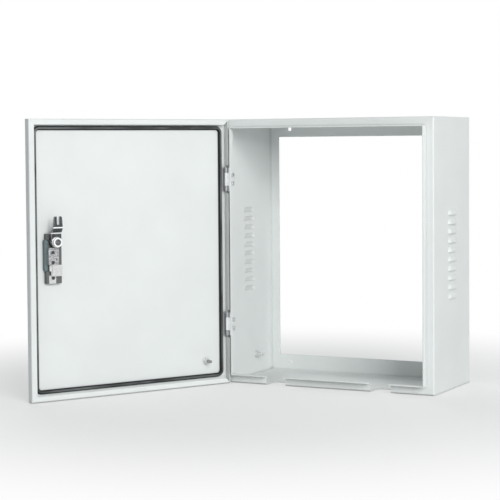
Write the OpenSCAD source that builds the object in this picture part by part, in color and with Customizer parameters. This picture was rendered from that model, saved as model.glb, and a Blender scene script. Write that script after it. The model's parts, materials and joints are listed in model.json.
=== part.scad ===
// Steel wall enclosure: a louvred body of four folded panels, a gasketed door pan on two
// lift-off style hinges, and a swing-handle lock that turns a cranked cam behind the frame.
// X runs right, Y runs back to the wall (wall plane at 0) and Z runs up. The origin is the
// centre of the wall-hole pattern. The door stands open by door_open at rest.

/* [Body] */
// Outside height of the body
body_h = 500; // [440:10:800]
// Outside width of the body
body_w = 420; // [360:10:600]
// Depth from the wall to the front frame
body_d = 190; // [165:5:300]
// Thickness of the folded sheet
sheet_t = 1.5; // [1.3:0.1:1.7]
// Inside radius of every fold
fold_r = 1; // [0.8:0.1:1.2]
// Width of the front frame, from the outer face to the inside of its lip
return_w = 17; // [16.8:0.1:19]
// Length of the rain lip in front of the frame
lip_h = 13; // [12.6:0.1:15]
// Width of the rear flange on the two sides
side_flange_w = 21; // [12:1:28]
// Width of the rear flange at the top and bottom
end_flange_w = 33; // [28:1:45]

/* [Wall holes] */
// Distance of each wall hole from the body's side
hole_in_x = 45; // [30:1:80]
// Distance of each wall hole from the body's top or bottom
hole_in_z = 17.5; // [16:0.5:19]
// Diameter of each wall hole
hole_d = 8; // [5:0.5:10]

/* [Cable notches] */
// Distance of each notch from the middle
notch_x = 106; // [60:1:115]
// Width of each notch
notch_w = 40; // [20:1:60]
// Depth of each notch, back from the front frame
notch_depth = 38; // [20:1:60]
// Radius of the far corners of a notch
notch_r = 6; // [2:0.5:9]

/* [Louvres] */
// Louvres on each side
louvre_count = 10; // [4:1:14]
// Height of the top slit above the middle
louvre_top = 71; // [60:1:110]
// Distance from one slit to the next
louvre_pitch = 17; // [15:0.5:20]
// Length of each hood
louvre_len = 45; // [30:1:80]
// Height of each hood above its slit
louvre_h = 10.5; // [8:0.5:12]
// Reach of each hood outside the wall
louvre_out = 4; // [3:0.25:5]

/* [Door] */
// Angle at which the door stands open
door_open = 119; // [0:1:119]
// Inset of the door on the hinge side
door_in = 4; // [3.5:0.25:4.5]
// Width of the return lip inside the door's rim
door_lip_w = 10.3; // [8:0.1:11]
// Width of the open seam across the corners of the return lip
seam_w = 0.4; // [0.2:0.1:0.8]
// Gap between the door's rim and the front frame
rim_gap = 4.5; // [2:0.25:6]
// Gap between the door's hinge side and the front frame
hinge_rim_gap = 6; // [4:0.25:8]
// Width of the gasket
gasket_w = 7; // [5:0.5:7.5]
// Height of the gasket's foot
gasket_foot = 2.5; // [1.5:0.1:3]
// Height of the whole gasket
gasket_h = 5.7; // [5:0.1:7]
// Width of the gasket's ridge
ridge_w = 3.5; // [3:0.25:4.5]
// Corner radius along the middle of the gasket
gasket_r = 9; // [5:0.5:16]
// Air between the gasket and the rain lip
seal_gap = 0.3; // [0.2:0.05:0.5]

/* [Hinges] */
// Distance of each hinge from the middle
hinge_z = 137; // [80:1:165]
// Length of each hinge
hinge_len = 44; // [40:1:60]
// Length of the middle knuckle
knuckle_mid = 24; // [20:1:28]
// Gap between knuckles
knuckle_gap = 0.3; // [0.2:0.05:0.5]
// Outer radius of the knuckles
knuckle_r = 3.2; // [3:0.05:3.3]
// Radius of the hinge pin
pin_r = 1.5; // [1.2:0.05:1.6]
// Distance of the pin in from the body's outer face
pin_in = 7; // [6.8:0.1:7.1]
// Distance of the pin in front of the frame
pin_out = 10; // [9.9:0.1:10.2]
// Thickness of the leaf on the body
leaf_t = 2; // [1.9:0.05:2.1]
// Thickness of the leaf on the door
door_leaf_t = 1.8; // [1.5:0.05:1.8]
// Reach of the door's leaf over the panel
door_leaf_w = 6.5; // [5:0.5:7]
// Distance of each hinge screw from the middle of its hinge
screw_z = 8; // [6:0.5:9]
// Thread diameter of the hinge screws
screw_d = 4; // [3:0.1:4]
// Head diameter of the hinge screws
screw_head_d = 7; // [6:0.1:7.2]
// Width across the flats of the hinge nuts
nut_af = 7; // [6:0.1:7]
// Thickness of the hinge nuts
nut_t = 3.2; // [2.4:0.1:3.2]

/* [Earth studs] */
// Diameter of each stud
stud_d = 6; // [5:0.5:8]
// Length of each stud
stud_len = 17; // [14:0.5:17.5]
// Width across the flats of the stud nuts
stud_nut_af = 10; // [9:0.5:13]
// Thickness of the stud nuts
stud_nut_t = 5; // [4:0.25:6]
// Diameter of the stud washers
stud_washer_d = 14; // [13:0.5:18]
// Thickness of the stud washers
stud_washer_t = 1.6; // [1:0.1:2]
// Distance of the body's stud from the wall plane
body_stud_y = 70; // [40:1:90]
// Height of the body's stud above its floor
body_stud_up = 40; // [25:1:60]
// Distance of the door's stud from the hinge-side edge of the body
door_stud_x = 50; // [40:1:90]
// Height of the door's stud above the door's lower edge
door_stud_up = 44.5; // [36:0.5:60]

/* [Lock] */
// Distance of the lock spindle from the door's free edge
lock_in = 49; // [48:0.5:52]
// Height of the lock spindle above the middle
lock_z = 32.5; // [0:0.5:60]
// Width of the lock plate
plate_w = 34; // [32:0.5:38]
// Reach of the lock plate above the spindle
plate_up = 20; // [18:0.5:26]
// Reach of the lock plate below the button
plate_end = 21.5; // [18:0.5:30]
// Thickness of the lock plate
plate_t = 5; // [4.5:0.1:5]
// Corner radius of the lock plate
plate_r = 6; // [3:0.5:9]
// Thickness of the rubber under the plate
seal_t = 1; // [0.8:0.1:1.2]
// Radius of the boss round the spindle
boss_r = 10; // [9:0.1:10.4]
// Radius of the spindle
spindle_r = 6; // [5.8:0.05:6.4]
// Width across the flats of the spindle's square
square_af = 8; // [7.6:0.1:8.2]
// Depth of the lock body behind the door's skin
lock_depth = 10; // [9.6:0.1:10.4]
// Half width of the lock body
lock_half_w = 15; // [14:0.25:16]
// Width of the die-cast housing
housing_w = 19.5; // [17:0.25:20]
// Depth of the die-cast housing
housing_t = 7; // [6:0.25:7]
// Width of the clamp bar
bar_w = 7; // [5:0.25:7]
// Length of the clamp bar
bar_len = 56; // [50:0.5:58]
// Depth of the clamp bar
bar_t = 7.5; // [6:0.1:7.5]
// Depth of the lower bracket
bracket_t = 6; // [5:0.25:6.5]
// Height of the lower bracket
bracket_h = 33; // [30:0.5:33]
// Height of the lower bracket's foot
foot_h = 13; // [12.5:0.25:15]
// Width of the lower bracket's foot
foot_w = 13.5; // [12:0.25:15]
// Diameter of the lock screws
lock_screw_d = 3.3; // [3:0.1:3.5]
// Head diameter of the lock screws
lock_head_d = 6; // [5.5:0.1:6.4]
// Head height of the lock screws
lock_head_t = 1.6; // [1.2:0.1:2]

/* [Cam] */
// Thickness of the cam
cam_t = 3; // [2.5:0.1:3.2]
// Radius of the cam's root
cam_root_r = 10; // [9:0.25:10.5]
// Reach of the cam from the spindle
cam_reach = 46; // [45.5:0.25:47]
// Width of the cam at its tip
cam_tip_w = 15; // [12:0.5:18]
// Step of the crank
cam_step = 8; // [6.5:0.1:8.5]
// Distance of the first bend from the spindle
cam_bend = 16; // [14:0.5:17]
// Length of the sloping part
cam_slope = 10; // [9:0.5:11]
// Width of the slot in the cam's tip
cam_slot_w = 5; // [3:0.1:6]
// Length of the slot in the cam's tip
cam_slot_len = 15; // [8:0.5:16]
// Diameter of the ring nut on the cam
cam_nut_d = 17; // [16:0.25:18]
// Height of the ring nut
cam_nut_t = 5; // [4:0.1:6]
// Diameter of the recess in the ring nut
cam_recess_d = 11; // [10:0.25:12]
// Diameter of the cam washer
cam_washer_d = 18.5; // [18:0.25:19]
// Thickness of the cam washer
cam_washer_t = 1.6; // [1.2:0.1:1.8]

/* [Handle] */
// Length of the handle from its flip pin to its tip
handle_len = 54; // [50:0.5:64]
// Width of the handle at its root
handle_root_w = 20; // [18:0.5:22]
// Width of the handle at its tip
handle_tip_w = 24; // [20:0.5:26]
// Radius of the handle's root about its flip pin
handle_root_r = 4.6; // [4.2:0.05:4.6]
// Width of the spindle's tongue in the handle's fork
tongue_w = 8; // [6:0.25:9]
// Radius of the flip pin
flip_pin_r = 1.5; // [1.2:0.05:1.8]

/* [Button] */
// Air between the handle's tip and the button's head
button_gap = 1.5; // [1:0.25:3]
// Radius of the button's barrel
button_r = 5.5; // [5.3:0.1:5.7]
// Diameter of the button's head
button_head_d = 14; // [13:0.25:14.5]
// Thickness of the button's head
button_head_t = 2.3; // [2:0.1:3]
// Travel of the button
button_travel = 3; // [1:0.25:3]
// Radius of the key plug
plug_r = 3.5; // [3:0.1:3.7]

/* [Hidden] */

$fn = 64;
fit = 0.05;           // radial running fit of pins, bores and threads
air = 0.3;            // air between pieces that move past each other
clear_r = 0.2;        // radial clearance of a screw or boss in its hole
cut = 1;              // overrun of a cutting tool

fold_out = fold_r + sheet_t;
half_w = body_w / 2;
half_h = body_h / 2;
frame_y = -body_d;
lip_tip_y = frame_y - lip_h;
flange_end_z = half_h - end_flange_w;

// hinge line
pin_x = -half_w + pin_in;
pin_y = frame_y - pin_out;

// door, drawn closed
door_left = -half_w + door_in;
door_right = half_w;
gasket_y = lip_tip_y - seal_gap - gasket_h;      // inner face of the door's skin
skin_y = gasket_y - sheet_t;                     // outer face of the door's skin
rim_y = frame_y - rim_gap;
hinge_rim_y = frame_y - hinge_rim_gap;
gasket_in = return_w - sheet_t / 2;              // the rain lip presses on its middle
door_rim_n = rim_y - skin_y;
hinge_rim_n = hinge_rim_y - skin_y;

// lock, drawn from the spindle: x towards the free edge, y into the enclosure, z up
lock_x = door_right - lock_in;
plate_back = -seal_t;
plate_face = plate_back - plate_t;
flip_y = plate_face - handle_root_r - 0.4;
housing_y = lock_depth + housing_t;
cam_y = housing_y + air;
post_x = 5.6;
housing_x = 13.5;                                // side of the housing towards the free edge
housing_top = -9.8;
button_down = handle_len + button_gap + button_head_d / 2;
plate_down = button_down + plate_end;
bracket_low = -button_down - 11;
post_z = [housing_top - 8.2, bracket_low + bracket_h + 5];
foot_x = -3;
clip_x = [-13.7, 5.5];
bracket_screw_x = 2.8;
bracket_screw_z = bracket_low + foot_h - lock_head_d / 2 - clear_r;   // its head is just under the step
pocket_r = button_r + 0.5;
pocket_floor = 6;
button_face = plate_face - button_travel - 0.2 - button_head_t;

// ---------------------------------------------------------------- placing

module opened() {
    translate([pin_x, pin_y, 0])
        rotate([0, 0, -door_open])
            translate([-pin_x, -pin_y, 0])
                children();
}

module at_lock() {
    opened()
        translate([lock_x, skin_y, lock_z])
            children();
}

// a cylinder along Y, from y0 to y1
module rod_y(r, y0, y1) {
    translate([0, y1, 0])
        rotate([90, 0, 0])
            cylinder(r = r, h = y1 - y0);
}

// a cylinder along X, from x0 to x1
module rod_x(r, x0, x1) {
    translate([x0, 0, 0])
        rotate([0, 90, 0])
            cylinder(r = r, h = x1 - x0);
}

module hexagon(af) {
    circle(r = af / sqrt(3), $fn = 6);
}

module rounded(w, h, r) {
    square([w - 2 * r, h], center = true);
    square([w, h - 2 * r], center = true);
    for (sx = [-1, 1], sz = [-1, 1])
        translate([sx * (w / 2 - r), sz * (h / 2 - r)])
            circle(r = r);
}

// a flat outline in x and z, thick from y0 to y1
module slab_y(y0, y1) {
    translate([0, y1, 0])
        rotate([90, 0, 0])
            linear_extrude(y1 - y0)
                children();
}

// ---------------------------------------------------------------- folded sheet

// quarter ring of a fold, on the side of its centre that dir points to
module fold(centre, dir) {
    translate(centre)
        intersection() {
            difference() {
                circle(r = fold_out);
                circle(r = fold_r);
            }
            translate([dir[0] < 0 ? -fold_out : 0, dir[1] < 0 ? -fold_out : 0])
                square(fold_out);
        }
}

// folded section of a body panel: x inward from its outer face, y as in the part
module panel_section() {
    translate([0, frame_y + fold_out])
        square([sheet_t, body_d - 2 * fold_out]);
    fold([fold_out, frame_y + fold_out], [-1, -1]);
    translate([fold_out, frame_y])
        square([return_w - 2 * fold_out, sheet_t]);
    fold([return_w - fold_out, frame_y - fold_r], [1, 1]);
    translate([return_w - sheet_t, lip_tip_y])
        square([sheet_t, lip_h - fold_r]);
    fold([fold_out, -fold_out], [-1, 1]);
}

// keeps what lies inside 45 degree mitres at both ends of a strip of half length half_l
module mitre(half_l, deep) {
    intersection() {
        children();
        rotate([90, 0, 0])
            linear_extrude(4 * body_d, center = true)
                polygon([[-cut, -half_l - cut], [deep, -half_l + deep],
                    [deep, half_l - deep], [-cut, half_l + cut]]);
    }
}

// one body panel with its rear flange, along Z, outer face at x = 0
module body_panel(half_l, flange_w, flange_half_l) {
    mitre(half_l, return_w + cut)
        linear_extrude(2 * half_l, center = true)
            panel_section();
    translate([fold_out, -sheet_t, -flange_half_l])
        cube([flange_w - fold_out, sheet_t, 2 * flange_half_l]);
}

// stretched dome of a louvre: an axis along Y with round ends
module dome(r, straight) {
    rotate([90, 0, 0])
        rotate_extrude()
            intersection() {
                union() {
                    translate([0, -straight / 2])
                        square([r, straight]);
                    for (s = [-1, 1])
                        translate([0, s * straight / 2])
                            circle(r = r);
                }
                translate([0, -straight])
                    square([r + cut, 2 * straight + 2 * r]);
            }
}

module side_panel() {
    dome_r = (louvre_h * louvre_h + louvre_out * louvre_out) / (2 * louvre_out);
    dome_in = dome_r - louvre_out;
    straight = louvre_len - 2 * louvre_h;
    slits = [for (i = [0:louvre_count - 1]) louvre_top - i * louvre_pitch];
    difference() {
        union() {
            body_panel(half_h, side_flange_w, flange_end_z);
            for (z = slits)
                intersection() {
                    translate([dome_in, -body_d / 2, z])
                        dome(dome_r, straight);
                    translate([-louvre_out - cut, -body_d / 2 - louvre_len, z])
                        cube([louvre_out + cut + sheet_t / 2, 2 * louvre_len, dome_r]);
                }
        }
        for (z = slits)
            intersection() {
                translate([dome_in, -body_d / 2, z])
                    dome(dome_r - sheet_t, straight);
                translate([-louvre_out - cut, -body_d / 2 - louvre_len, z])
                    cube([louvre_out + sheet_t + 2 * cut, 2 * louvre_len, dome_r]);
            }
    }
}

module hinge_screw_holes() {
    for (s = [-1, 1], t = [-1, 1])
        translate([0, screw_y, s * hinge_z + t * screw_z])
            rod_x(screw_d / 2 + clear_r, return_w - sheet_t - cut, return_w + cut);
}

module left_side() {
    color("gainsboro")
        translate([-half_w, 0, 0])
            difference() {
                side_panel();
                hinge_screw_holes();
            }
}

module right_side() {
    color("gainsboro")
        translate([half_w, 0, 0])
            mirror([1, 0, 0])
                side_panel();
}

module end_panel() {
    difference() {
        translate([0, 0, half_h])
            rotate([0, 90, 0])
                body_panel(half_w, end_flange_w, half_w - fold_out);
        for (s = [-1, 1])
            translate([s * (half_w - hole_in_x), 0, half_h - hole_in_z])
                rod_y(hole_d / 2, -sheet_t - cut, cut);
    }
}

module top_side() {
    color("gainsboro")
        end_panel();
}

module bottom_side() {
    color("gainsboro")
        difference() {
            mirror([0, 0, 1])
                end_panel();
            for (s = [-1, 1])
                translate([s * notch_x, lip_tip_y - cut, -half_h - cut])
                    notch_tool(lip_h + notch_depth + cut);
        }
}

// cuts a cable notch that runs back by reach and is rounded at its far corners
module notch_tool(reach) {
    linear_extrude(return_w + 2 * cut) {
        translate([-notch_w / 2, 0])
            square([notch_w, reach - notch_r]);
        translate([-notch_w / 2 + notch_r, 0])
            square([notch_w - 2 * notch_r, reach]);
        for (s = [-1, 1])
            translate([s * (notch_w / 2 - notch_r), reach - notch_r])
                circle(r = notch_r);
    }
}

// ---------------------------------------------------------------- door

// folded section of the door's rim: x inward from the outer face, y into the enclosure
module rim_section(rim_n, lip_w) {
    fold([fold_out, fold_out], [-1, -1]);
    if (lip_w > 0) {
        translate([0, fold_out])
            square([sheet_t, rim_n - 2 * fold_out]);
        fold([fold_out, rim_n - fold_out], [-1, 1]);
        translate([fold_out, rim_n - sheet_t])
            square([lip_w - fold_out, sheet_t]);
    } else {
        translate([0, fold_out])
            square([sheet_t, rim_n - fold_out]);
    }
}

module rim(half_l, rim_n, lip_w) {
    mitre(half_l, door_lip_w + cut)
        linear_extrude(2 * half_l, center = true)
            rim_section(rim_n, lip_w);
}

module door_pan() {
    door_mid = (door_left + door_right) / 2;
    door_half_w = (door_right - door_left) / 2;
    color("whitesmoke")
        opened()
            difference() {
                translate([0, skin_y, 0]) {
                    translate([door_left, 0, 0])
                        rim(half_h, hinge_rim_n, 0);
                    translate([door_right, 0, 0])
                        mirror([1, 0, 0])
                            rim(half_h, door_rim_n, door_lip_w);
                    for (s = [0, 1])
                        mirror([0, 0, s])
                            translate([door_mid, 0, half_h])
                                rotate([0, 90, 0])
                                    rim(door_half_w, door_rim_n, door_lip_w);
                    translate([door_left + fold_out, 0, -half_h + fold_out])
                        cube([2 * (door_half_w - fold_out), sheet_t, 2 * (half_h - fold_out)]);
                }
                for (s = [-1, 1])
                    translate([door_left - cut, pin_y - knuckle_r - air, s * hinge_z - hinge_len / 2 - 4])
                        cube([fold_out + cut, pin_out, hinge_len + 8]);
                for (s = [0, 1])
                    mirror([0, 0, s])
                        translate([door_right, rim_y, half_h])
                            rotate([0, 45, 0])
                                translate([-sqrt(2) * (door_lip_w + cut), -fold_r - sheet_t / 2, -seam_w / 2])
                                    cube([sqrt(2) * (door_lip_w + cut - sheet_t), fold_out + cut, seam_w]);
                translate([lock_x, skin_y, lock_z])
                    lock_holes(-cut, sheet_t + cut);
            }
}

// holes for the lock's bosses and posts through the door's skin
module lock_holes(y0, y1) {
    rod_y(boss_r + air, y0, y1);
    translate([0, 0, -button_down])
        rod_y(button_sleeve_r + air, y0, y1);
    for (z = post_z)
        translate([post_x, 0, z])
            rod_y(post_r + air, y0, y1);
}

module ring(w, h, r, ring_w) {
    difference() {
        rounded(w + ring_w, h + ring_w, r + ring_w / 2);
        rounded(w - ring_w, h - ring_w, r - ring_w / 2);
    }
}

module door_gasket() {
    mid_w = body_w - 2 * gasket_in;
    mid_h = body_h - 2 * gasket_in;
    color("dimgray")
        opened() {
            slab_y(gasket_y, gasket_y + gasket_foot)
                ring(mid_w, mid_h, gasket_r, gasket_w);
            slab_y(gasket_y + gasket_foot, gasket_y + gasket_h)
                ring(mid_w, mid_h, gasket_r, ridge_w);
        }
}

// ---------------------------------------------------------------- hinges

screw_y = frame_y - fold_out - screw_head_d / 2 + 0.5;   // hinge screws, on the rain lip
leaf_x = -half_w + return_w - sheet_t;                   // outer face of the rain lip
leaf_end = (hinge_len - knuckle_mid) / 2 - knuckle_gap;  // length of an end knuckle

module body_leaf(z) {
    leaf_y0 = lip_tip_y + 0.5;
    leaf_y1 = frame_y - 1.4;
    color("silver")
        translate([0, 0, z])
            difference() {
                union() {
                    translate([leaf_x - leaf_t, leaf_y0, -hinge_len / 2])
                        cube([leaf_t, leaf_y1 - leaf_y0, hinge_len]);
                    translate([pin_x, leaf_y0, -knuckle_mid / 2])
                        cube([leaf_x - leaf_t - pin_x, pin_y - 0.2 - leaf_y0, knuckle_mid]);
                    translate([pin_x, pin_y, -knuckle_mid / 2])
                        cylinder(r = knuckle_r, h = knuckle_mid);
                }
                translate([pin_x, pin_y, -hinge_len])
                    cylinder(r = pin_r + fit, h = 2 * hinge_len);
                for (t = [-1, 1])
                    translate([leaf_x - leaf_t, screw_y, t * screw_z]) {
                        rod_x(screw_d / 2 + clear_r, -cut, leaf_t + cut);
                        countersink(clear_r);
                    }
            }
}

// head of a countersunk screw, opening towards -x
module countersink(grow) {
    head_r = screw_head_d / 2 + grow;
    shank_r = screw_d / 2 + grow;
    translate([-(grow > 0 ? cut : 0), 0, 0])
        rotate([0, 90, 0])
            cylinder(r1 = head_r + (grow > 0 ? cut : 0), r2 = shank_r,
                h = head_r - shank_r + (grow > 0 ? cut : 0));
}

module upper_hinge_body_leaf() {
    body_leaf(hinge_z);
}

module lower_hinge_body_leaf() {
    body_leaf(-hinge_z);
}

module hinge_pins() {
    color("darkgray")
        for (s = [-1, 1])
            translate([pin_x, pin_y, s * hinge_z - hinge_len / 2])
                cylinder(r = pin_r, h = hinge_len);
}

module hinge_screws() {
    shank = leaf_t + sheet_t + nut_t + 1;
    color("silver")
        for (s = [-1, 1], t = [-1, 1])
            translate([leaf_x - leaf_t, screw_y, s * hinge_z + t * screw_z]) {
                countersink(0);
                rod_x(screw_d / 2, 0, shank);
            }
}

module hinge_nuts() {
    color("silver")
        for (s = [-1, 1], t = [-1, 1])
            translate([leaf_x + sheet_t, screw_y, s * hinge_z + t * screw_z])
                rotate([0, 90, 0])
                    linear_extrude(nut_t)
                        difference() {
                            hexagon(nut_af);
                            circle(r = screw_d / 2 + fit);
                        }
}

// section of the door's leaf, from the corner inside the pan's fold; up is how far it rises
module door_leaf_section(up) {
    difference() {
        union() {
            square([door_leaf_w, door_leaf_t]);
            square([door_leaf_t, up]);
        }
        difference() {
            translate([-cut, -cut])
                square(fold_r + clear_r + cut);
            translate([fold_r + clear_r, fold_r + clear_r])
                circle(r = fold_r + clear_r);
        }
    }
}

module door_leaf(z) {
    leg_x = door_left + sheet_t;
    color("dimgray")
        opened()
            translate([0, 0, z])
                difference() {
                    union() {
                        translate([leg_x, gasket_y, -hinge_len / 2])
                            linear_extrude(hinge_len)
                                door_leaf_section(pin_y - knuckle_r - 0.6 - gasket_y);
                        for (s = [0, 1])
                            mirror([0, 0, s])
                                translate([0, 0, hinge_len / 2 - leaf_end]) {
                                    translate([leg_x, gasket_y + door_leaf_t, 0])
                                        cube([door_leaf_t, pin_y - gasket_y - door_leaf_t, leaf_end]);
                                    translate([pin_x, pin_y, 0])
                                        cylinder(r = knuckle_r, h = leaf_end);
                                }
                    }
                    translate([pin_x, pin_y, -hinge_len])
                        cylinder(r = pin_r + fit, h = 2 * hinge_len);
                }
}

module upper_hinge_door_leaf() {
    door_leaf(hinge_z);
}

module lower_hinge_door_leaf() {
    door_leaf(-hinge_z);
}

// ---------------------------------------------------------------- earth studs

// studs stand on z = 0 and point up
module stud() {
    cylinder(r = stud_d / 2, h = stud_len);
}

module stud_nut() {
    linear_extrude(stud_washer_t)
        difference() {
            circle(r = stud_washer_d / 2);
            circle(r = stud_d / 2 + fit);
        }
    translate([0, 0, stud_washer_t])
        linear_extrude(stud_nut_t)
            difference() {
                hexagon(stud_nut_af);
                circle(r = stud_d / 2 + fit);
            }
}

module at_body_stud() {
    translate([-half_w + sheet_t, -body_stud_y, -half_h + body_stud_up])
        rotate([0, 90, 0])
            children();
}

module at_door_stud() {
    opened()
        translate([-half_w + door_stud_x, gasket_y, -half_h + door_stud_up])
            rotate([-90, 0, 0])
                children();
}

module body_earth_stud() {
    color("silver")
        at_body_stud()
            stud();
}

module body_earth_nut() {
    color("silver")
        at_body_stud()
            stud_nut();
}

module door_earth_stud() {
    color("silver")
        at_door_stud()
            stud();
}

module door_earth_nut() {
    color("silver")
        at_door_stud()
            stud_nut();
}

// ---------------------------------------------------------------- lock, fixed pieces

post_r = 3;
button_sleeve_r = button_r + 1.5;
plate_mid_z = (plate_up - plate_down) / 2;
plate_h = plate_up + plate_down;

module lock_seal() {
    color("black")
        at_lock()
            difference() {
                translate([0, 0, plate_mid_z])
                    slab_y(-seal_t, 0)
                        rounded(plate_w, plate_h, plate_r);
                lock_holes(-seal_t - cut, cut);
            }
}

module lock_plate() {
    color("dimgray")
        at_lock()
            difference() {
                union() {
                    translate([0, 0, plate_mid_z])
                        slab_y(plate_face, plate_back)
                            rounded(plate_w, plate_h, plate_r);
                    rod_y(boss_r, plate_back, lock_depth);
                    translate([0, 0, -button_down])
                        rod_y(button_sleeve_r, plate_back, sheet_t);
                    for (z = post_z)
                        translate([post_x, 0, z])
                            rod_y(post_r, plate_back, lock_depth);
                }
                rod_y(spindle_r + fit, plate_face - cut, lock_depth + cut);
                translate([0, 0, -button_down])
                    rod_y(button_r + fit, plate_face - cut, lock_depth);
                for (z = post_z)
                    translate([post_x, 0, z])
                        rod_y(lock_screw_d / 2 + fit, 2, lock_depth + cut);
            }
}

module lock_body() {
    body_up = 14.5;
    bar_x = lock_half_w - 4;
    color("darkslategray")
        at_lock()
            difference() {
                translate([-lock_half_w, sheet_t, bracket_low])
                    cube([2 * lock_half_w, lock_depth - sheet_t, body_up - bracket_low]);
                rod_y(boss_r + clear_r, 0, lock_depth + cut);
                for (z = post_z)
                    translate([post_x, 0, z])
                        rod_y(post_r + clear_r, 0, lock_depth + cut);
                translate([0, 0, -button_down])
                    rod_y(pocket_r, 0, pocket_floor);
                translate([bar_x - clear_r, 0, bar_low - clear_r])
                    cube([bar_w, lock_depth + cut, bar_len + 2 * clear_r]);
                translate([bracket_screw_x, 0, bracket_screw_z])
                    rod_y(lock_screw_d / 2 + fit, pocket_floor + 0.7, lock_depth + cut);
            }
}

bar_low = 4.5 - bar_len;
bar_x0 = lock_half_w - 4;

module clamp_bar() {
    color("slategray")
        at_lock()
            translate([bar_x0 + bar_w / 2, 0, bar_low + bar_len / 2])
                slab_y(sheet_t, sheet_t + bar_t)
                    rounded(bar_w, bar_len, bar_w / 2 - 0.1);
}

module lock_housing() {
    color("gray")
        at_lock()
            difference() {
                translate([housing_x - housing_w / 2, 0, (housing_top + bracket_low + bracket_h) / 2])
                    slab_y(lock_depth, housing_y)
                        rounded(housing_w, housing_top - bracket_low - bracket_h - 0.2, 2);
                for (z = post_z)
                    translate([post_x, 0, z])
                        rod_y(lock_screw_d / 2 + clear_r, lock_depth - cut, housing_y + cut);
            }
}

// folded clip that holds the button's lock: a raised plate, a step down and a foot with one screw
module lower_bracket() {
    clip_top = lock_depth + bracket_t;
    clip_h = bracket_h - foot_h;
    clip_w = clip_x[1] - clip_x[0];
    color("lightgray")
        at_lock()
            translate([0, 0, bracket_low])
                difference() {
                    union() {
                        translate([clip_x[0], clip_top - sheet_t, foot_h])
                            cube([clip_w, sheet_t, clip_h]);
                        translate([clip_x[1] - sheet_t, lock_depth, foot_h])
                            cube([sheet_t, bracket_t, clip_h]);
                        translate([clip_x[0], lock_depth, foot_h])
                            cube([clip_w, bracket_t, sheet_t]);
                        translate([foot_x, lock_depth, 0])
                            cube([foot_w, sheet_t, foot_h + sheet_t]);
                    }
                    translate([bracket_screw_x, 0, bracket_screw_z - bracket_low])
                        rod_y(lock_screw_d / 2 + clear_r, lock_depth - cut, lock_depth + sheet_t + cut);
                }
}

module lock_screw(from, seat) {
    rod_y(lock_screw_d / 2, from, seat);
    difference() {
        rod_y(lock_head_d / 2, seat, seat + lock_head_t);
        translate([0, seat + lock_head_t + cut, 0])
            rotate([90, 0, 0])
                linear_extrude(cut + lock_head_t / 2)
                    hexagon(lock_head_d / 2);
    }
}

module lock_screws() {
    color("dimgray")
        at_lock() {
            for (z = post_z)
                translate([post_x, 0, z])
                    lock_screw(3, housing_y);
            translate([bracket_screw_x, 0, bracket_screw_z])
                lock_screw(pocket_floor + 0.9, lock_depth + sheet_t);
        }
}

// ---------------------------------------------------------------- spindle and cam

square_end = cam_y + cam_t;
washer_end = square_end + cam_washer_t;
nut_end = washer_end + cam_nut_t;

module spindle() {
    color("silver")
        at_lock()
            difference() {
                union() {
                    rod_y(spindle_r, plate_face, housing_y);
                    translate([0, cam_y + cam_t, 0])
                        rotate([90, 0, 0])
                            linear_extrude(cam_y + cam_t - housing_y)
                                square(square_af, center = true);
                    rod_y(square_af / 2, square_end, nut_end - 1);
                    translate([-tongue_w / 2, flip_y, -4.5])
                        cube([tongue_w, plate_face - flip_y, 9]);
                    translate([0, flip_y, 0])
                        rod_x(4.5, -tongue_w / 2, tongue_w / 2);
                }
                translate([0, flip_y, 0])
                    rod_x(flip_pin_r + fit, -tongue_w, tongue_w);
                translate([-square_af, nut_end - 2.2, -0.6])
                    cube([2 * square_af, 2.2 + cut, 1.2]);
            }
}

module spindle_spacer() {
    color("silver")
        at_lock()
            slab_y(lock_depth + 0.1, cam_y)
                difference() {
                    circle(r = 8.5);
                    circle(r = spindle_r + fit);
                }
}

// side view of the cam, x out from the spindle and y into the enclosure
module cam_side() {
    bend_end = cam_bend + cam_slope;
    polygon([[-cam_root_r - cut, cam_y], [cam_bend, cam_y], [bend_end, cam_y + cam_step],
        [cam_reach, cam_y + cam_step], [cam_reach, cam_y + cam_step + cam_t],
        [bend_end - cam_t * 0.3, cam_y + cam_step + cam_t], [cam_bend - cam_t * 0.3, cam_y + cam_t],
        [-cam_root_r - cut, cam_y + cam_t]]);
}

module cam_front() {
    circle(r = cam_root_r);
    polygon([[-cam_root_r, 0], [cam_root_r, 0], [cam_root_r, cam_bend],
        [cam_tip_w / 2, cam_reach - 1.5], [cam_tip_w / 2 - 1.5, cam_reach],
        [-cam_tip_w / 2 + 1.5, cam_reach], [-cam_tip_w / 2, cam_reach - 1.5],
        [-cam_root_r, cam_bend]]);
}

module cam() {
    color("silver")
        at_lock()
            difference() {
                intersection() {
                    slab_y(cam_y - cut, cam_y + cam_step + cam_t + cut)
                        cam_front();
                    translate([-cam_root_r - cut, 0, 0])
                        rotate([90, 0, 90])
                            linear_extrude(2 * cam_root_r + 2 * cut)
                                mirror([1, -1])
                                    cam_side();
                }
                slab_y(cam_y - cut, cam_y + cam_t + cut)
                    square(square_af + 2 * fit, center = true);
                slab_y(cam_y, cam_y + cam_step + cam_t + cut) {
                    translate([-cam_slot_w / 2, cam_reach - cam_slot_len + cam_slot_w / 2])
                        square([cam_slot_w, cam_slot_len]);
                    translate([0, cam_reach - cam_slot_len + cam_slot_w / 2])
                        circle(r = cam_slot_w / 2);
                }
            }
}

module cam_washer() {
    color("whitesmoke")
        at_lock()
            slab_y(square_end, washer_end)
                difference() {
                    circle(r = cam_washer_d / 2);
                    circle(r = square_af / 2 + fit);
                }
}

module cam_nut() {
    color("silver")
        at_lock()
            difference() {
                rod_y(cam_nut_d / 2, washer_end, nut_end);
                rod_y(square_af / 2 + fit, washer_end - cut, nut_end + cut);
                rod_y(cam_recess_d / 2, nut_end - cam_nut_t / 2, nut_end + cut);
            }
}

// ---------------------------------------------------------------- handle and button

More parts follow.
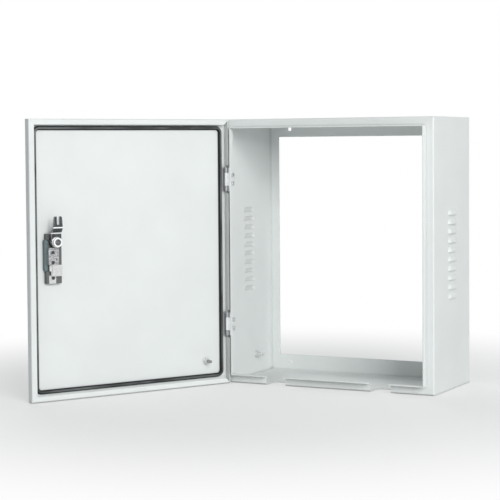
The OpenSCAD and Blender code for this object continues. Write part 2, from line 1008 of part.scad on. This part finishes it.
// side view of the handle, x into the enclosure and y up
module handle_side(outer, inner) {
    polygon([[outer, -handle_len - cut], [inner, -handle_len - cut], [inner, 0],
        [flip_y + handle_root_r / 2, handle_root_r / 2],
        [flip_y - handle_root_r / 2, handle_root_r / 2], [outer, 0]]);
    translate([flip_y, 0])
        circle(r = handle_root_r);
}

module handle() {
    tip_r = handle_tip_w / 2;
    tip_z = tip_r - handle_len;
    root_x = handle_root_w / 2;
    outer = flip_y - handle_root_r;
    inner = flip_y + handle_root_r;
    color("dimgray")
        at_lock()
            difference() {
                union() {
                    intersection() {
                        slab_y(outer - cut, inner + cut)
                            polygon([[-root_x, handle_root_r], [root_x, handle_root_r],
                                [root_x, -2 * handle_root_r], [tip_r, -handle_len / 2], [tip_r, tip_z],
                                [-tip_r, tip_z], [-tip_r, -handle_len / 2], [-root_x, -2 * handle_root_r]]);
                        translate([-tip_r - cut, 0, 0])
                            rotate([90, 0, 90])
                                linear_extrude(2 * tip_r + 2 * cut)
                                    handle_side(outer, inner);
                    }
                    translate([0, 0, tip_z])
                        rod_y(tip_r, outer, inner);
                }
                translate([-tongue_w / 2 - air, outer - cut, -8])
                    cube([tongue_w + 2 * air, 2 * handle_root_r + 2 * cut, 8 + handle_root_r + cut]);
                translate([0, flip_y, 0])
                    rod_x(flip_pin_r + fit, -tip_r, tip_r);
            }
}

module handle_pin() {
    color("silver")
        at_lock()
            translate([0, flip_y, 0])
                rod_x(flip_pin_r, -handle_root_w / 2 + 0.5, handle_root_w / 2 - 0.5);
}

plug_depth = 6.3;
cup_r = plug_r + 0.7;                  // recess behind the plug, over the return spring
cup_start = button_face + plug_depth + 1.8;
barrel_end = 0.5;

module lock_button() {
    color("darkgray")
        at_lock()
            translate([0, 0, -button_down])
                difference() {
                    union() {
                        rod_y(button_head_d / 2, button_face, button_face + button_head_t);
                        rod_y(button_r, button_face, barrel_end);
                    }
                    rod_y(plug_r + fit, button_face - cut, button_face + plug_depth);
                    rod_y(cup_r, cup_start, barrel_end + cut);
                }
}

module key_plug() {
    color("silver")
        at_lock()
            translate([0, 0, -button_down])
                difference() {
                    rod_y(plug_r, button_face, button_face + plug_depth - air);
                    translate([-0.5, button_face - cut, -2.4])
                        cube([1, cut + 4, 4.8]);
                }
}

// return spring on the pocket's floor, drawn pressed together
module button_spring() {
    wire_r = 0.45;
    spring_r = cup_r - air - 2 * wire_r;
    turns = floor((pocket_floor - cup_start - button_travel - air) / (2 * wire_r));
    color("silver")
        at_lock()
            translate([0, pocket_floor, -button_down])
                rotate([90, 0, 0])
                    rotate_extrude()
                        difference() {
                            translate([spring_r, 0])
                                square([2 * wire_r, 2 * wire_r * turns]);
                            for (i = [0:turns], s = [0, 1])
                                translate([spring_r + 2 * s * wire_r, 2 * i * wire_r])
                                    circle(r = wire_r * 0.6);
                        }
}

// ---------------------------------------------------------------- nodes

left_side();
right_side();
top_side();
bottom_side();
upper_hinge_body_leaf();
lower_hinge_body_leaf();
hinge_pins();
hinge_screws();
hinge_nuts();
body_earth_stud();
body_earth_nut();
door_pan();
door_gasket();
upper_hinge_door_leaf();
lower_hinge_door_leaf();
door_earth_stud();
door_earth_nut();
lock_seal();
lock_plate();
lock_body();
lock_housing();
clamp_bar();
lower_bracket();
lock_screws();
spindle();
spindle_spacer();
cam();
cam_washer();
cam_nut();
handle();
handle_pin();
lock_button();
button_spring();
key_plug();
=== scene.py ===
"""Steel wall enclosure: materials, small details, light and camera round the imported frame.

Metres, in the CAD frame: X right, Y back into the wall, Z up, origin at the centre of the four wall holes.
"""
import bpy
import bmesh
import json
import math
from mathutils import Matrix, Vector


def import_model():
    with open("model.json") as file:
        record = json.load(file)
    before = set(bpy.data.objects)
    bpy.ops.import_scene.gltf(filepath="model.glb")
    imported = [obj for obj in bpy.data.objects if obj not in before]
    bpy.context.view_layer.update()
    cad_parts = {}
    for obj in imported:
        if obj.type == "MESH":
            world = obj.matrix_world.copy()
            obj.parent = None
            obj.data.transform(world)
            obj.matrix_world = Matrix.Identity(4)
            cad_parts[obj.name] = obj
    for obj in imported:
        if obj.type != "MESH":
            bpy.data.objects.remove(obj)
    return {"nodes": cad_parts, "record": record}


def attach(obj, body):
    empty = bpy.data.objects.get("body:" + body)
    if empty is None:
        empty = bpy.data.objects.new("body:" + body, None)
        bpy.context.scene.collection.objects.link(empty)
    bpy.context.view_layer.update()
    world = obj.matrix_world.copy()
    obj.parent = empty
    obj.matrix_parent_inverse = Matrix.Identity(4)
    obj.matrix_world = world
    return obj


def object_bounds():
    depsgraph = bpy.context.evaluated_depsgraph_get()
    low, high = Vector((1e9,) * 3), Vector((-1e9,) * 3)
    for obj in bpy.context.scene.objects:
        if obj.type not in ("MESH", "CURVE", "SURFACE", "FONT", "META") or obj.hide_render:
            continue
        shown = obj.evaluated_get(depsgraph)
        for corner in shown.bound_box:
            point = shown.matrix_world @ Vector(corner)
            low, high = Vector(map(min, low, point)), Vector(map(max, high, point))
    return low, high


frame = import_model()
CAD_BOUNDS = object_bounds()
NODES = frame["nodes"]
MM = 0.001

# the lock's place: the spindle's joint, whose axis points into the enclosure
SPINDLE_TURN = next(j for j in frame["record"]["behaviour"]["joints"] if j["name"] == "spindle_turn")
LOCK_CENTRE, LOCK_AXIS = tuple(SPINDLE_TURN["pos_m"]), tuple(SPINDLE_TURN["axis"])
# the heights of the cam's two bends, where its highlight lines are painted
CAM_BENDS = [LOCK_CENTRE[2] + up * MM for up in (16, 26)]
# the radius within which the nut is painted dark as the shade of its recess
NUT_RECESS_R = 5.4 * MM
RIDGE_FOOT, RIDGE_TOP = 5.5 * MM, 6.8 * MM  # the gasket's ridge, inward of the spindle's joint: where its painted highlight starts and where it is full

# ---------------------------------------------------------------- materials


def new_material(name):
    """An empty material: its node tree, links and shader."""
    mat = bpy.data.materials.new(name)
    mat.use_nodes = True
    tree = mat.node_tree
    shader = tree.nodes["Principled BSDF"]
    return mat, tree, shader


def noise(tree, scale, detail=3.0, roughness=0.55, stretch=(1, 1, 1)):
    """A noise texture over the object's own metres, stretched per axis."""
    coords = tree.nodes.new("ShaderNodeTexCoord")
    mapping = tree.nodes.new("ShaderNodeMapping")
    mapping.inputs["Scale"].default_value = stretch
    texture = tree.nodes.new("ShaderNodeTexNoise")
    texture.inputs["Scale"].default_value = scale
    texture.inputs["Detail"].default_value = detail
    texture.inputs["Roughness"].default_value = roughness
    tree.links.new(coords.outputs["Object"], mapping.inputs["Vector"])
    tree.links.new(mapping.outputs["Vector"], texture.inputs["Vector"])
    return texture.outputs["Fac"]


def ramp(tree, value, stops):
    """A colour ramp of (place, colour) stops over a value."""
    node = tree.nodes.new("ShaderNodeValToRGB")
    elements = node.color_ramp.elements
    while len(elements) > 1:
        elements.remove(elements[-1])
    elements[0].position = stops[0][0]
    elements[0].color = (*stops[0][1], 1)
    for place, colour in stops[1:]:
        element = elements.new(place)
        element.color = (*colour, 1)
    tree.links.new(value, node.inputs["Fac"])
    return node.outputs["Color"]


def map_range(tree, value, from_min, from_max, to_min=0.0, to_max=1.0, smooth=False):
    """Maps a value from one range to another, and holds it at both ends."""
    node = tree.nodes.new("ShaderNodeMapRange")
    if smooth:
        node.interpolation_type = "SMOOTHSTEP"
    node.inputs["From Min"].default_value = from_min
    node.inputs["From Max"].default_value = from_max
    node.inputs["To Min"].default_value = to_min
    node.inputs["To Max"].default_value = to_max
    tree.links.new(value, node.inputs["Value"])
    return node.outputs["Result"]


def spread(tree, value, low, high):
    """Maps a 0.3 to 0.7 noise value to low to high."""
    return map_range(tree, value, 0.3, 0.7, low, high)


def bump(tree, shader, height, distance, strength=1.0, edge=0.0):
    """Bump from a height value, over edges that a bevel of radius edge softens."""
    node = tree.nodes.new("ShaderNodeBump")
    node.inputs["Strength"].default_value = strength
    node.inputs["Distance"].default_value = distance
    tree.links.new(height, node.inputs["Height"])
    if edge > 0:
        bevel = tree.nodes.new("ShaderNodeBevel")
        bevel.samples = 4
        bevel.inputs["Radius"].default_value = edge
        tree.links.new(bevel.outputs["Normal"], node.inputs["Normal"])
    tree.links.new(node.outputs["Normal"], shader.inputs["Normal"])


def math_node(tree, operation, *values):
    """A math node over links and numbers."""
    node = tree.nodes.new("ShaderNodeMath")
    node.operation = operation
    for socket, value in zip(node.inputs, values):
        if isinstance(value, (int, float)):
            socket.default_value = value
        else:
            tree.links.new(value, socket)
    return node.outputs["Value"]


def vector_node(tree, operation, *values):
    """A vector math node over links and vectors."""
    node = tree.nodes.new("ShaderNodeVectorMath")
    node.operation = operation
    for socket, value in zip(node.inputs, values):
        if isinstance(value, (tuple, Vector)):
            socket.default_value = value
        else:
            tree.links.new(value, socket)
    return node.outputs["Value" if operation in ("LENGTH", "DISTANCE", "DOT_PRODUCT") else "Vector"]


def mix_colours(tree, factor, first, second):
    """Mixes two colours, each a tuple or a link, by a factor."""
    node = tree.nodes.new("ShaderNodeMix")
    node.data_type = "RGBA"
    tree.links.new(factor, node.inputs["Factor"])
    for socket, value in ((node.inputs[6], first), (node.inputs[7], second)):
        if isinstance(value, tuple):
            socket.default_value = (*value, 1)
        else:
            tree.links.new(value, socket)
    return node.outputs[2]


def cad_place(tree):
    """The point's place in the CAD frame, as the object's own coordinates."""
    return tree.nodes.new("ShaderNodeTexCoord").outputs["Object"]


def band(tree, value, middle, half, soft):
    """1 within half of the middle, falling to 0 over soft."""
    away = math_node(tree, "ABSOLUTE", math_node(tree, "SUBTRACT", value, middle))
    return map_range(tree, away, half, half + soft, 1, 0, smooth=True)


def wear_and_highlight_edges(tree, radius, low, high):
    """A mask of the sharp edges, where a bevel of this radius turns the normal; the callers lighten these
    edges, as wear and as a painted highlight.
    """
    bevel = tree.nodes.new("ShaderNodeBevel")
    bevel.samples = 6
    bevel.inputs["Radius"].default_value = radius
    geometry = tree.nodes.new("ShaderNodeNewGeometry")
    turn = vector_node(tree, "DOT_PRODUCT", bevel.outputs["Normal"], geometry.outputs["Normal"])
    return map_range(tree, turn, high, low)


def painted_crevice_shade(tree, reach):
    """0 deep in a gap or corner, where the coat is painted darker as shade, and 1 in the open."""
    open_sky = tree.nodes.new("ShaderNodeAmbientOcclusion")
    open_sky.samples = 8
    open_sky.inputs["Distance"].default_value = reach
    return map_range(tree, open_sky.outputs["AO"], 0.25, 0.8)


def shade(colour, factor):
    """A colour made lighter or darker by a factor, up to full white."""
    return tuple(min(1.0, c * factor) for c in colour)


def powder_coat(name, colour, texture=2600, depth=0.00005, rough=(0.52, 0.62)):
    """Baked powder paint: a fine orange peel, with slight clouding of tone and gloss."""
    mat, tree, shader = new_material(name)
    cloud = ramp(tree, noise(tree, 9, detail=2), [(0.3, shade(colour, 0.975)), (0.7, shade(colour, 1.02))])
    # painted shade: the coat darkens towards half its tone in gaps and corners
    coat = mix_colours(tree, painted_crevice_shade(tree, 0.008), shade(colour, 0.5), cloud)
    tree.links.new(coat, shader.inputs["Base Color"])
    tree.links.new(spread(tree, noise(tree, 160), *rough), shader.inputs["Roughness"])
    shader.inputs["Specular IOR Level"].default_value = 0.35
    bump(tree, shader, noise(tree, texture, detail=2), depth, 0.5, edge=0.0004)
    return mat


def plated(name, colour, rough, mottle=0.12):
    """Plated metal with a mottled passivation and a fine grain."""
    mat, tree, shader = new_material(name)
    shader.inputs["Metallic"].default_value = 1.0
    mottled = noise(tree, 420, detail=4)
    zinc = ramp(tree, mottled, [(0.3, shade(colour, 1 - mottle)), (0.7, shade(colour, 1 + mottle))])
    tree.links.new(zinc, shader.inputs["Base Color"])
    tree.links.new(spread(tree, noise(tree, 900), rough - 0.06, rough + 0.08), shader.inputs["Roughness"])
    bump(tree, shader, noise(tree, 1800), 0.00004, 0.4, edge=0.0003)
    return mat


def die_cast(name, dark, light):
    """Rough zinc die casting: a coarse speckle of pits and bright grains."""
    mat, tree, shader = new_material(name)
    shader.inputs["Metallic"].default_value = 0.25
    speckle = noise(tree, 420, detail=5, roughness=0.75)
    grains = ramp(tree, speckle, [
        (0.40, dark), (0.47, shade(light, 0.55)), (0.53, shade(light, 0.8)), (0.58, light),
    ])
    # the edges lightened: wear and a painted highlight
    casting = mix_colours(tree, wear_and_highlight_edges(tree, 0.0012, 0.8, 0.98), grains, shade(light, 1.15))
    tree.links.new(casting, shader.inputs["Base Color"])
    shader.inputs["Roughness"].default_value = 0.5
    bump(tree, shader, noise(tree, 1500, detail=5, roughness=0.7), 0.00025, 0.7, edge=0.0004)
    return mat


def foam_rubber(name, colour):
    """Poured foam gasket: matt, with fine open pores, and a painted highlight along its ridge."""
    mat, tree, shader = new_material(name)
    pores = noise(tree, 2200, detail=4, roughness=0.7)
    cells = ramp(tree, pores, [(0.35, shade(colour, 0.6)), (0.6, shade(colour, 1.25))])
    highlight_tone = noise(tree, 14, detail=2)
    painted_ridge_highlight = ramp(tree, highlight_tone, [(0.35, shade(colour, 3.0)), (0.65, shade(colour, 10.0))])
    from_lock = vector_node(tree, "SUBTRACT", cad_place(tree), LOCK_CENTRE)
    ridge = map_range(tree, vector_node(tree, "DOT_PRODUCT", from_lock, LOCK_AXIS), RIDGE_FOOT, RIDGE_TOP)
    tree.links.new(mix_colours(tree, ridge, cells, painted_ridge_highlight), shader.inputs["Base Color"])
    tree.links.new(spread(tree, noise(tree, 700), 0.5, 0.65), shader.inputs["Roughness"])
    shader.inputs["Specular IOR Level"].default_value = 0.35
    bump(tree, shader, pores, 0.0002, 0.6, edge=0.0008)
    return mat


def plain_zinc(name, colour, metallic, rough, edge_light=1.6):
    """Passivated zinc on a small part: partly matt, and lighter at its edges, as wear and as a painted
    highlight.
    """
    mat, tree, shader = new_material(name)
    shader.inputs["Metallic"].default_value = metallic
    cloud = noise(tree, 300, detail=4)
    cloudy = ramp(tree, cloud, [(0.3, shade(colour, 0.88)), (0.7, shade(colour, 1.12))])
    zinc = mix_colours(tree, wear_and_highlight_edges(tree, 0.0006, 0.8, 0.99), cloudy, shade(colour, edge_light))
    tree.links.new(zinc, shader.inputs["Base Color"])
    tree.links.new(spread(tree, noise(tree, 900), rough - 0.06, rough + 0.08), shader.inputs["Roughness"])
    bump(tree, shader, noise(tree, 1800), 0.00004, 0.4, edge=0.0003)
    return mat


def cranked_cam(name, colour, bright, bends):
    """Polished steel painted dark as a reflection of dark surroundings, with a painted highlight along
    each bend and along its edges, which wear also lightens.
    """
    mat, tree, shader = new_material(name)
    height = tree.nodes.new("ShaderNodeSeparateXYZ")
    tree.links.new(cad_place(tree), height.inputs["Vector"])
    bend_highlights = [band(tree, height.outputs["Z"], z, 0.0009, 0.0004) for z in bends]
    worn_edge_highlight = wear_and_highlight_edges(tree, 0.0009, 0.82, 0.985)
    painted_highlight = math_node(tree, "MAXIMUM", math_node(tree, "MAXIMUM", *bend_highlights), worn_edge_highlight)
    brushed = ramp(tree, noise(tree, 350, detail=4, stretch=(1, 1, 0.25)),
                   [(0.3, shade(colour, 0.7)), (0.7, shade(colour, 1.35))])
    tree.links.new(mix_colours(tree, painted_highlight, brushed, bright), shader.inputs["Base Color"])
    # painted highlight: diffuse and less metallic along the bends and edges
    tree.links.new(math_node(tree, "SUBTRACT", 0.75, math_node(tree, "MULTIPLY", painted_highlight, 0.7)),
                   shader.inputs["Metallic"])
    tree.links.new(spread(tree, noise(tree, 900), 0.24, 0.36), shader.inputs["Roughness"])
    bump(tree, shader, noise(tree, 1500), 0.00004, 0.4, edge=0.0003)
    return mat


def ring_nut(name, axis_point, axis, recess_radius, bright, dark):
    """A turned nut: a bright face, and its recess painted dark as shade."""
    mat, tree, shader = new_material(name)
    from_axis = vector_node(tree, "SUBTRACT", cad_place(tree), axis_point)
    radius = vector_node(tree, "LENGTH", vector_node(tree, "CROSS_PRODUCT", from_axis, axis))
    painted_recess_shade = band(tree, radius, 0.0, recess_radius, 0.0003)
    cuts = noise(tree, 500, detail=3)
    turned = ramp(tree, cuts, [(0.3, shade(bright, 0.93)), (0.7, shade(bright, 1.03))])
    tree.links.new(mix_colours(tree, painted_recess_shade, turned, dark), shader.inputs["Base Color"])
    shader.inputs["Metallic"].default_value = 0.15
    tree.links.new(spread(tree, noise(tree, 900), 0.28, 0.4), shader.inputs["Roughness"])
    bump(tree, shader, noise(tree, 1800), 0.00003, 0.4, edge=0.0003)
    return mat


GREY_COAT = powder_coat("grey_powder_coat", (0.745, 0.775, 0.765))
BLACK_COAT = powder_coat("black_powder_coat", (0.022, 0.023, 0.025), texture=1800, rough=(0.38, 0.5))
BRIGHT_ZINC = plated("bright_zinc", (0.80, 0.81, 0.82), 0.32)
DARK_ZINC = plated("dark_zinc", (0.10, 0.105, 0.11), 0.45, mottle=0.2)
DIE_CAST = die_cast("rough_die_cast", (0.12, 0.12, 0.125), (0.62, 0.63, 0.64))
BRASS = plated("brass", (0.70, 0.52, 0.24), 0.34)
FOAM = foam_rubber("foam_rubber", (0.014, 0.015, 0.015))

BRIGHT_STEEL = (0.93, 0.94, 0.94)
CAM_STEEL = cranked_cam("cam_steel", (0.085, 0.090, 0.093), BRIGHT_STEEL, CAM_BENDS)
NUT_STEEL = ring_nut("nut_steel", LOCK_CENTRE, LOCK_AXIS, NUT_RECESS_R, BRIGHT_STEEL, (0.05, 0.05, 0.052))
# painted shade: the spindle is dark as the nut's recess is shaded; its bright edges are a painted
# highlight
SPINDLE_STEEL = plain_zinc("spindle_steel", (0.14, 0.145, 0.15), 0.4, 0.35, edge_light=4.5)
BAR_ZINC = plain_zinc("bar_zinc", (0.14, 0.19, 0.20), 0.1, 0.4, edge_light=1.0)
CASE_ZINC = plain_zinc("case_zinc", (0.135, 0.14, 0.143), 0.3, 0.45, edge_light=1.3)
STUD_ZINC = plain_zinc("stud_zinc", (0.30, 0.30, 0.30), 0.3, 0.4, edge_light=1.8)
STUD_NUT_ZINC = plain_zinc("stud_nut_zinc", (0.66, 0.67, 0.67), 0.1, 0.5, edge_light=1.25)
# one hinge zinc in two tones: the door leaves darker as painted shade, the body leaves lighter as a
# painted highlight on the knuckles
SHADED_DOOR_LEAF_ZINC = plain_zinc("shaded_door_leaf_zinc", (0.38, 0.39, 0.40), 0.25, 0.42, edge_light=1.5)
HIGHLIT_BODY_LEAF_ZINC = plain_zinc("highlit_body_leaf_zinc", (0.84, 0.85, 0.86), 0.15, 0.36, edge_light=1.1)
CLIP_ZINC = plain_zinc("clip_zinc", (0.66, 0.665, 0.66), 0.25, 0.38, edge_light=1.4)

# the pieces whose finish differs from that of their slot, and the finish of every other slot
BY_NODE = {
    "cam": CAM_STEEL, "cam_nut": NUT_STEEL, "spindle": SPINDLE_STEEL, "clamp_bar": BAR_ZINC,
    "lock_body": CASE_ZINC, "lower_bracket": CLIP_ZINC,
    "door_earth_stud": STUD_ZINC, "door_earth_nut": STUD_NUT_ZINC,
    "body_earth_stud": STUD_NUT_ZINC, "body_earth_nut": STUD_NUT_ZINC,
    "upper_hinge_door_leaf": SHADED_DOOR_LEAF_ZINC, "lower_hinge_door_leaf": SHADED_DOOR_LEAF_ZINC,
    "upper_hinge_body_leaf": HIGHLIT_BODY_LEAF_ZINC, "lower_hinge_body_leaf": HIGHLIT_BODY_LEAF_ZINC,
}
FINISH = {
    "powder": GREY_COAT, "bright_zinc": BRIGHT_ZINC, "dark_zinc": DARK_ZINC, "die_cast": DIE_CAST,
    "black_die_cast": BLACK_COAT, "brass": BRASS, "gasket_rubber": FOAM,
}


def dress_nodes():
    """Gives every CAD node its own finish, or else that of its slot in the record."""
    for part in frame["record"]["subparts"]:
        obj = NODES[part["node"]]
        obj.data.materials.clear()
        obj.data.materials.append(BY_NODE.get(part["node"]) or FINISH[part["material_slot"]])


dress_nodes()

# ---------------------------------------------------------------- small pieces


def mesh_object(name, points, faces):
    """A mesh object in the scene, from its points and faces."""
    mesh = bpy.data.meshes.new(name)
    mesh.from_pydata(points, [], faces)
    mesh.update()
    obj = bpy.data.objects.new(name, mesh)
    bpy.context.scene.collection.objects.link(obj)
    return obj


def lock_point(x, y, z):
    """A point in mm from the spindle: x towards the free edge, y into the enclosure, z up."""
    inward = Vector(LOCK_AXIS)
    along = Vector((LOCK_AXIS[1], -LOCK_AXIS[0], 0))
    return Vector(LOCK_CENTRE) + (along * x + inward * y) * MM + Vector((0, 0, z * MM))


def plate_on_lock(name, outline, y0, y1, mat, bevel=0.15):
    """A flat plate on the lock, cut to an outline of (x, z) points and thick from y0 to y1, in mm."""
    count = len(outline)
    points = [lock_point(x, y, z) for y in (y0, y1) for x, z in outline]
    faces = [tuple(range(count)), tuple(range(2 * count - 1, count - 1, -1))]
    faces += [(i, i + count, (i + 1) % count + count, (i + 1) % count) for i in range(count)]
    obj = mesh_object(name, points, faces)
    edit = bmesh.new()
    edit.from_mesh(obj.data)
    bmesh.ops.recalc_face_normals(edit, faces=edit.faces)
    edit.to_mesh(obj.data)
    edit.free()
    soften = obj.modifiers.new("soften", "BEVEL")
    soften.width = bevel * MM
    soften.segments = 2
    obj.data.materials.append(mat)
    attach(obj, "door")


# the lower clip's narrow tab, on the side of the free edge, wider above than below
CLIP_EDGE, REACH_ABOVE, REACH_BELOW = 5.4, 10.8, 7.6
TAB_TOP, TAB_STEP, TAB_END = -41, -51.5, -60
TAB_BACK, TAB_FRONT = 13.2, 14.4
plate_on_lock("clip_tab", [
    (CLIP_EDGE, TAB_TOP), (REACH_ABOVE, TAB_TOP), (REACH_ABOVE, TAB_STEP),
    (REACH_BELOW, TAB_STEP), (REACH_BELOW, TAB_END), (CLIP_EDGE, TAB_END),
], TAB_BACK, TAB_FRONT, CLIP_ZINC)

# ---------------------------------------------------------------- stage, light and camera


FLOOR_HALF = 30.0
FLOOR_DROP = 1 * MM
SHADOW_CENTRE = (-0.1, -0.25)
SHADOW_R, BACKDROP_R = 0.35, 1.1
SHADOW_WHITE = 0.4  # the backdrop's share in the middle of the shadow


def floor():
    """A wide pale floor: it takes the shadow near by and fades to the white backdrop."""
    z = CAD_BOUNDS[0][2] - FLOOR_DROP
    corners = [(x * FLOOR_HALF, y * FLOOR_HALF, z) for x, y in ((-1, -1), (1, -1), (1, 1), (-1, 1))]
    obj = mesh_object("floor", corners, [(0, 1, 2, 3)])
    mat, tree, shader = new_material("floor_paint")
    tree.links.new(ramp(tree, noise(tree, 2), [(0.3, (0.86, 0.86, 0.86)), (0.7, (0.88, 0.88, 0.88))]),
                   shader.inputs["Base Color"])
    shader.inputs["Roughness"].default_value = 0.9
    shader.inputs["Specular IOR Level"].default_value = 0.1
    away = vector_node(tree, "DISTANCE", cad_place(tree), (*SHADOW_CENTRE, z))
    reach = map_range(tree, away, SHADOW_R, BACKDROP_R, SHADOW_WHITE, 1, smooth=True)
    path = tree.nodes.new("ShaderNodeLightPath")
    glow = tree.nodes.new("ShaderNodeEmission")
    mix = tree.nodes.new("ShaderNodeMixShader")
    tree.links.new(math_node(tree, "MULTIPLY", reach, path.outputs["Is Camera Ray"]), mix.inputs["Fac"])
    tree.links.new(shader.outputs["BSDF"], mix.inputs[1])
    tree.links.new(glow.outputs["Emission"], mix.inputs[2])
    tree.links.new(mix.outputs["Shader"], tree.nodes["Material Output"].inputs["Surface"])
    obj.data.materials.append(mat)


def world(ambient):
    """White to the camera, and a soft ambient light to everything else."""
    scene_world = bpy.data.worlds.new("studio")
    bpy.context.scene.world = scene_world
    scene_world.use_nodes = True
    tree = scene_world.node_tree
    tree.nodes.clear()
    out = tree.nodes.new("ShaderNodeOutputWorld")
    mix = tree.nodes.new("ShaderNodeMixShader")
    seen = tree.nodes.new("ShaderNodeBackground")
    lit = tree.nodes.new("ShaderNodeBackground")
    path = tree.nodes.new("ShaderNodeLightPath")
    seen.inputs["Color"].default_value = (1, 1, 1, 1)
    lit.inputs["Color"].default_value = (*ambient, 1)
    tree.links.new(path.outputs["Is Camera Ray"], mix.inputs["Fac"])
    tree.links.new(lit.outputs["Background"], mix.inputs[1])
    tree.links.new(seen.outputs["Background"], mix.inputs[2])
    tree.links.new(mix.outputs["Shader"], out.inputs["Surface"])


def area_light(name, place, target, watts):
    """A square soft box that faces its target."""
    data = bpy.data.lights.new(name, "AREA")
    data.shape = "RECTANGLE"
    data.size, data.size_y = SOFT_BOX
    data.energy = watts
    obj = bpy.data.objects.new(name, data)
    obj.location = place
    obj.rotation_euler = (Vector(target) - Vector(place)).to_track_quat("-Z", "Y").to_euler()
    bpy.context.scene.collection.objects.link(obj)


def camera(place, yaw, pitch, roll, lens, shift_y):
    """A camera that looks along +Y at yaw 0, turned clockwise by yaw; angles in degrees."""
    yaw, pitch, roll = (math.radians(a) for a in (yaw, pitch, roll))
    ahead = Vector((math.sin(yaw) * math.cos(pitch), math.cos(yaw) * math.cos(pitch), math.sin(pitch)))
    right = Vector((math.cos(yaw), -math.sin(yaw), 0))
    up = right.cross(ahead)
    turned = right * math.cos(roll) + up * math.sin(roll)
    upright = up * math.cos(roll) - right * math.sin(roll)
    data = bpy.data.cameras.new("camera")
    data.sensor_width = 36
    data.lens = lens
    data.shift_y = shift_y
    data.clip_end = 100
    obj = bpy.data.objects.new("camera", data)
    axes = Matrix((turned, upright, -ahead)).transposed().to_4x4()
    obj.matrix_world = Matrix.Translation(place) @ axes
    bpy.context.scene.collection.objects.link(obj)
    bpy.context.scene.camera = obj


SOFT_BOX = (2.4, 2.4)
BODY_MIDDLE = (0, -0.2, 0)
WHOLE_MIDDLE = (-0.1, -0.2, 0)

floor()
world(ambient=(0.318, 0.328, 0.334))
area_light("key", (3.4, -3.4, 1.75), BODY_MIDDLE, watts=172)
area_light("side", (4.4, -0.9, 1.2), BODY_MIDDLE, watts=14)
area_light("back", (-2.6, 3.2, 1.8), WHOLE_MIDDLE, watts=45)
camera(Vector((1.225, -2.879, 0.199)), yaw=-27.22, pitch=-2.63, roll=-0.43, lens=115.56, shift_y=-0.06)
bpy.context.scene.view_settings.view_transform = "Standard"
